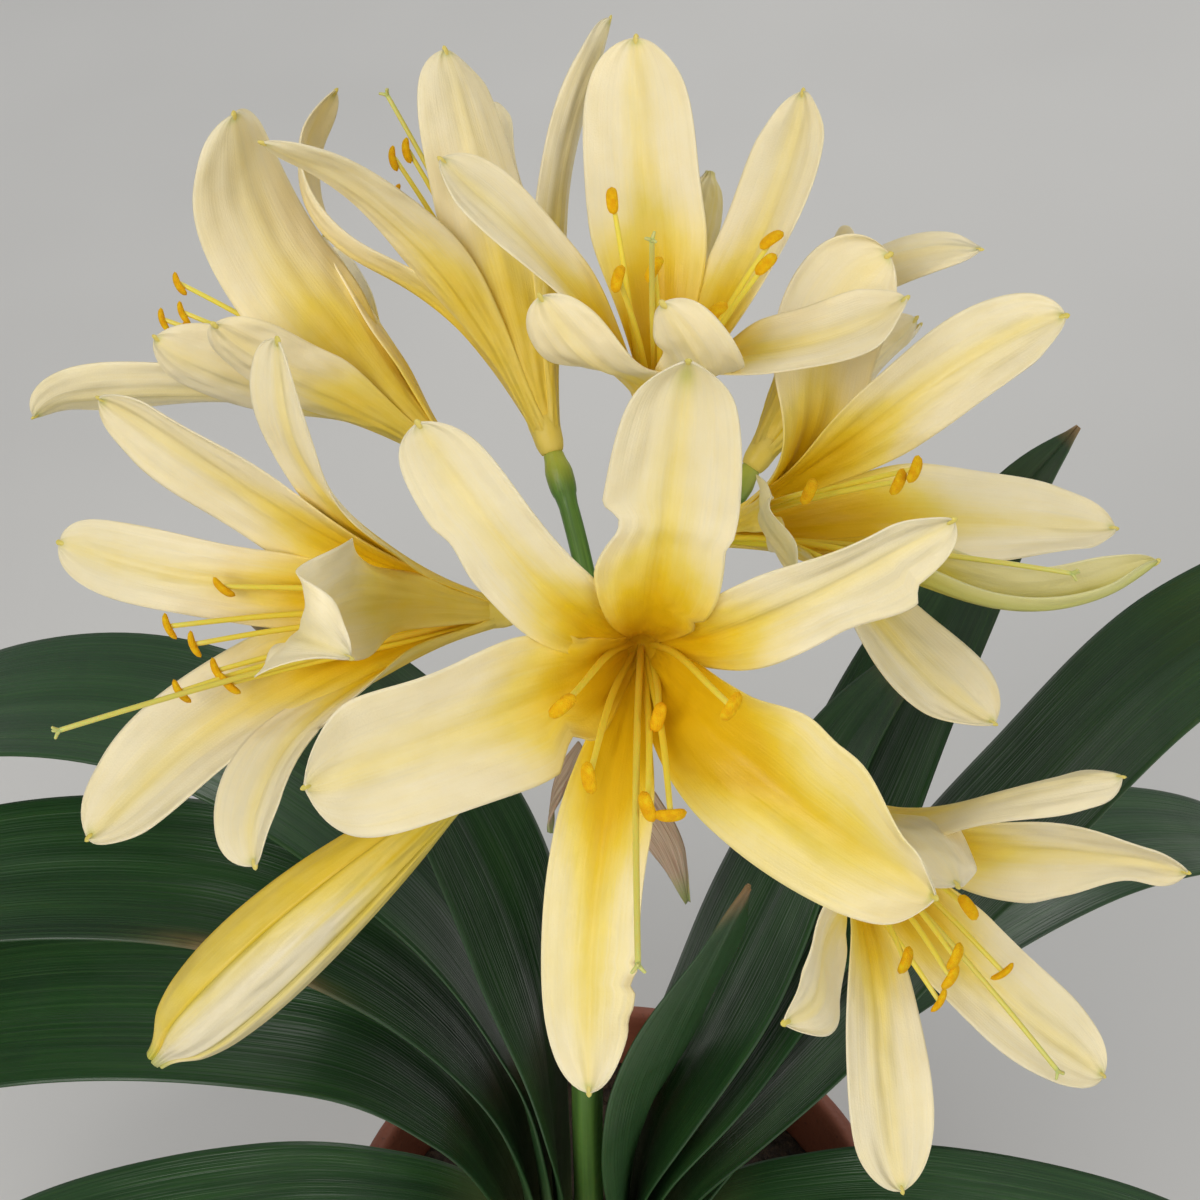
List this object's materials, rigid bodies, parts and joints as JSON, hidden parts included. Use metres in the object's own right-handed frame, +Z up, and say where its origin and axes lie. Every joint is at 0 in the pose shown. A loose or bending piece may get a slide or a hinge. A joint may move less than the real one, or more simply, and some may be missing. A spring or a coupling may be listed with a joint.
{
  "type": "potted clivia",
  "caption": "Clivia in flower in a round clay pot: an umbel of cream and yellow trumpet blooms on one stalk above a two-ranked fan of strap leaves.",
  "frame": {"origin": "centre of the pot's flat base", "axes": "+Z up along the pot, -Y towards the front of the flower head, the fan of leaves spreading along X"},
  "size_m": [0.5192, 0.2321, 0.5057],
  "materials": {
    "terracotta": "matt fired clay",
    "soil": "loose dark potting soil",
    "stalk": "smooth fleshy green",
    "leaf": "leathery, semi-gloss dark green",
    "petal": "soft satin petal, cream with a yellow midrib and throat",
    "bud": "soft satin closed petal",
    "bract": "dry papery bract"
  },
  "bodies": {
    "root": {"pot": "terracotta", "soil": "soil", "flower_stalk": "stalk", "leaf_left_low": "leaf", "leaf_left_front": "leaf", "leaf_left_middle": "leaf", "leaf_left_back": "leaf", "leaf_left_inner": "leaf", "leaf_centre": "leaf", "leaf_right_inner": "leaf", "leaf_right_back": "leaf", "leaf_right_front": "leaf", "leaf_right_rear": "leaf", "leaf_right_low": "leaf", "bloom_front": "petal", "bloom_left": "petal", "bloom_upper_left": "petal", "bloom_back": "petal", "bloom_top": "petal", "bloom_right": "petal", "bloom_lower_right": "petal", "bloom_far_right": "petal", "bud_lower_left": "bud", "bud_small": "bud", "bract_front": "bract", "bract_left": "bract"}
  },
  "joints": []
}
